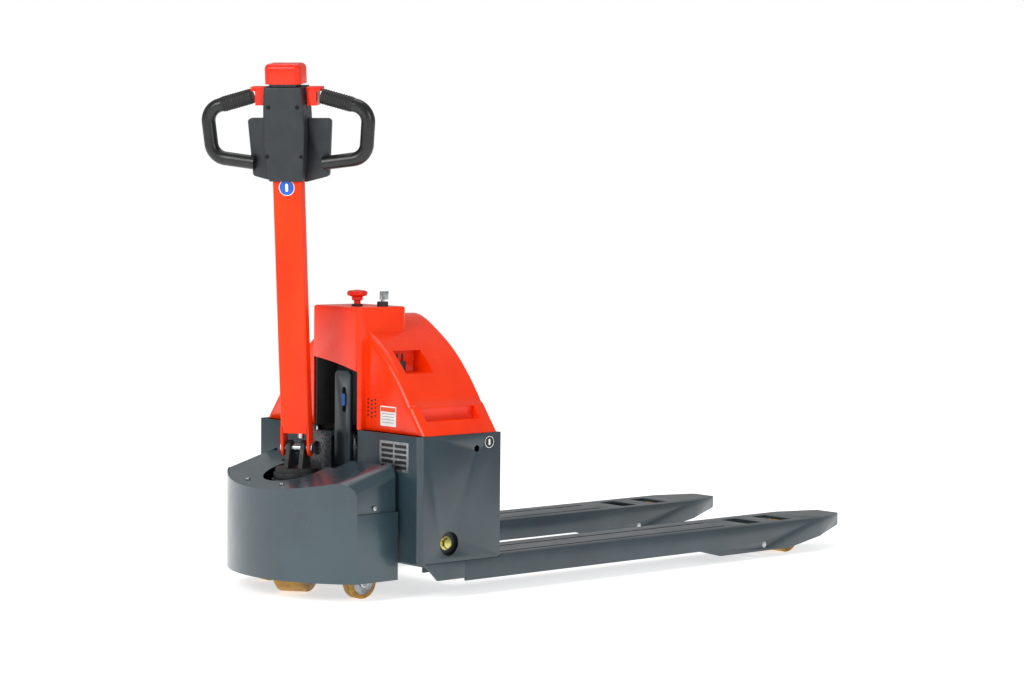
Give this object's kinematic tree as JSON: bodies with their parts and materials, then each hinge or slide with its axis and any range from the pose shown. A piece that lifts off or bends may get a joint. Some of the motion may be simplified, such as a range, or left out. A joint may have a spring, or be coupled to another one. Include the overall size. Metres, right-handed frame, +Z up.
{
  "type": "electric pallet truck",
  "caption": "Low-lift electric pallet truck with a turned tiller, bowed drive cover, battery hood and two long forks on load wheels.",
  "frame": {"origin": "middle of the bounding box on the floor, with the tiller upright and turned as stored", "axes": "+X towards the fork tips, +Y to the truck's left as seen when facing the tips, +Z up"},
  "size_m": [1.6545, 0.564, 1.1125],
  "materials": {
    "charcoal_paint": "charcoal powder coat, satin",
    "zinc_steel": "zinc-plated steel",
    "cast_aluminium": "cast aluminium",
    "black_plastic": "charcoal moulded plastic",
    "black_casting": "black painted casting",
    "polyurethane": "amber polyurethane",
    "orange_paint": "orange-red powder coat, gloss",
    "grip_rubber": "ribbed black rubber",
    "red_plastic": "red moulded plastic",
    "orange_plastic": "orange-red moulded cover, gloss"
  },
  "bodies": {
    "drive_chassis": {"drive_frame": "charcoal_paint", "bumper_plate": "charcoal_paint", "top_cover": "charcoal_paint", "cover_bolts": "zinc_steel", "steer_bearing": "zinc_steel", "lift_cylinder": "zinc_steel", "pump_block": "cast_aluminium", "pump_motor": "cast_aluminium", "oil_tank": "black_plastic"},
    "drive_head": {"drive_gearbox": "black_casting", "traction_motor": "black_casting", "drive_brake": "black_casting", "tiller_clevis": "black_casting"},
    "drive_wheel": {"drive_hub": "black_casting", "drive_tyre": "polyurethane"},
    "tiller": {"tiller_column": "orange_paint", "tiller_pin": "zinc_steel", "gas_spring": "zinc_steel", "head_housing": "black_plastic", "head_cover": "black_plastic", "left_handle": "black_plastic", "right_handle": "black_plastic", "handle_grips": "grip_rubber", "head_screws": "zinc_steel"},
    "spring_rod": {"spring_rod": "zinc_steel"},
    "belly_button": {"belly_button": "red_plastic"},
    "throttle": {"throttle_rocker": "red_plastic"},
    "horn_button": {"horn_button": "black_plastic"},
    "lift_button": {"lift_button": "black_plastic"},
    "lower_button": {"lower_button": "black_plastic"},
    "fork_frame": {"left_fork": "charcoal_paint", "right_fork": "charcoal_paint", "heel_plates": "charcoal_paint", "battery_box": "charcoal_paint", "hood": "orange_plastic", "recess_panel": "black_plastic", "batteries": "black_plastic", "controller": "black_plastic", "charger": "black_plastic", "stop_collar": "black_plastic", "key_switch": "black_plastic", "charger_plug": "black_plastic", "arm_pins": "zinc_steel", "lift_rod": "zinc_steel"},
    "stop_button": {"stop_button": "red_plastic"},
    "ignition_key": {"ignition_key": "zinc_steel"},
    "load_arms": {"left_load_arm": "charcoal_paint", "right_load_arm": "charcoal_paint", "load_axles": "zinc_steel"},
    "push_rods": {"push_rods": "zinc_steel"},
    "left_load_wheel": {"left_load_hub": "zinc_steel", "left_load_tyre": "polyurethane"},
    "right_load_wheel": {"right_load_hub": "zinc_steel", "right_load_tyre": "polyurethane"},
    "left_caster": {"left_caster_fork": "zinc_steel"},
    "right_caster": {"right_caster_fork": "zinc_steel"},
    "left_caster_wheel": {"left_caster_hub": "zinc_steel", "left_caster_tyre": "polyurethane"},
    "right_caster_wheel": {"right_caster_hub": "zinc_steel", "right_caster_tyre": "polyurethane"}
  },
  "joints": [
    {"name": "steering", "type": "hinge", "parent": "drive_chassis", "child": "drive_head", "pos_m": [-0.648, 0, 0.196], "axis": [0, 0, 1], "range_deg": [-126, 54]},
    {"name": "drive_wheel_spin", "type": "hinge", "parent": "drive_head", "child": "drive_wheel", "pos_m": [-0.648, 0, 0.09], "axis": [-0.5878, 0.809, 0], "continuous": true},
    {"name": "tiller_tilt", "type": "hinge", "parent": "drive_head", "child": "tiller", "pos_m": [-0.648, 0, 0.305], "axis": [0.5878, -0.809, 0], "range_deg": [0, 75], "stiffness_Nm_per_rad": 25, "springref_deg": -28.65},
    {"name": "spring_stroke", "type": "slide", "parent": "tiller", "child": "spring_rod", "axis": [-0.0986, -0.0716, 0.9925], "range_m": [0, 0.036]},
    {"name": "belly_press", "type": "slide", "parent": "tiller", "child": "belly_button", "axis": [0.0986, 0.0716, -0.9925], "range_m": [0, 0.0045], "stiffness_N_per_m": 3000},
    {"name": "throttle_turn", "type": "hinge", "parent": "tiller", "child": "throttle", "pos_m": [-0.71313, -0.04732, 1.04269], "axis": [-0.5878, 0.809, 0], "range_deg": [-20, 20], "stiffness_Nm_per_rad": 1.5},
    {"name": "horn_press", "type": "slide", "parent": "tiller", "child": "horn_button", "axis": [-0.803, -0.5834, -0.1219], "range_m": [0, 0.0025], "stiffness_N_per_m": 800},
    {"name": "lift_press", "type": "slide", "parent": "tiller", "child": "lift_button", "axis": [-0.803, -0.5834, -0.1219], "range_m": [0, 0.0025], "stiffness_N_per_m": 800},
    {"name": "lower_press", "type": "slide", "parent": "tiller", "child": "lower_button", "axis": [-0.803, -0.5834, -0.1219], "range_m": [0, 0.0025], "stiffness_N_per_m": 800},
    {"name": "fork_lift", "type": "slide", "parent": "drive_chassis", "child": "fork_frame", "axis": [0, 0, 1], "range_m": [0, 0.115]},
    {"name": "stop_press", "type": "slide", "parent": "fork_frame", "child": "stop_button", "axis": [0, 0, -1], "range_m": [0, 0.006]},
    {"name": "key_turn", "type": "hinge", "parent": "fork_frame", "child": "ignition_key", "pos_m": [-0.465, -0.056, 0.603], "axis": [0, 0, 1], "range_deg": [-90, 0]},
    {"name": "arm_swing", "type": "hinge", "parent": "fork_frame", "child": "load_arms", "pos_m": [0.503, 0, 0.033], "axis": [0, 1, 0], "range_deg": [0, 65.33]},
    {"name": "rod_push", "type": "slide", "parent": "fork_frame", "child": "push_rods", "axis": [1, 0, 0], "range_m": [0, 0.02401]},
    {"name": "left_load_spin", "type": "hinge", "parent": "load_arms", "child": "left_load_wheel", "pos_m": [0.627, 0.2095, 0.037], "axis": [0, 1, 0], "continuous": true},
    {"name": "left_caster_swivel", "type": "hinge", "parent": "drive_chassis", "child": "left_caster", "pos_m": [-0.619, 0.16, 0.079], "axis": [0, 0, 1], "continuous": true},
    {"name": "left_caster_spin", "type": "hinge", "parent": "left_caster", "child": "left_caster_wheel", "pos_m": [-0.605, 0.16, 0.035], "axis": [0, 1, 0], "continuous": true},
    {"name": "right_load_spin", "type": "hinge", "parent": "load_arms", "child": "right_load_wheel", "pos_m": [0.627, -0.2095, 0.037], "axis": [0, 1, 0], "continuous": true},
    {"name": "right_caster_swivel", "type": "hinge", "parent": "drive_chassis", "child": "right_caster", "pos_m": [-0.619, -0.16, 0.079], "axis": [0, 0, 1], "continuous": true},
    {"name": "right_caster_spin", "type": "hinge", "parent": "right_caster", "child": "right_caster_wheel", "pos_m": [-0.605, -0.16, 0.035], "axis": [0, 1, 0], "continuous": true}
  ],
  "couplings": [
    {"joint": "arm_swing", "follows": "fork_lift", "rad_per_m": 9.913},
    {"joint": "rod_push", "follows": "fork_lift", "ratio": 0.2087},
    {"joint": "spring_stroke", "follows": "tiller_tilt", "m_per_rad": 0.02712}
  ]
}
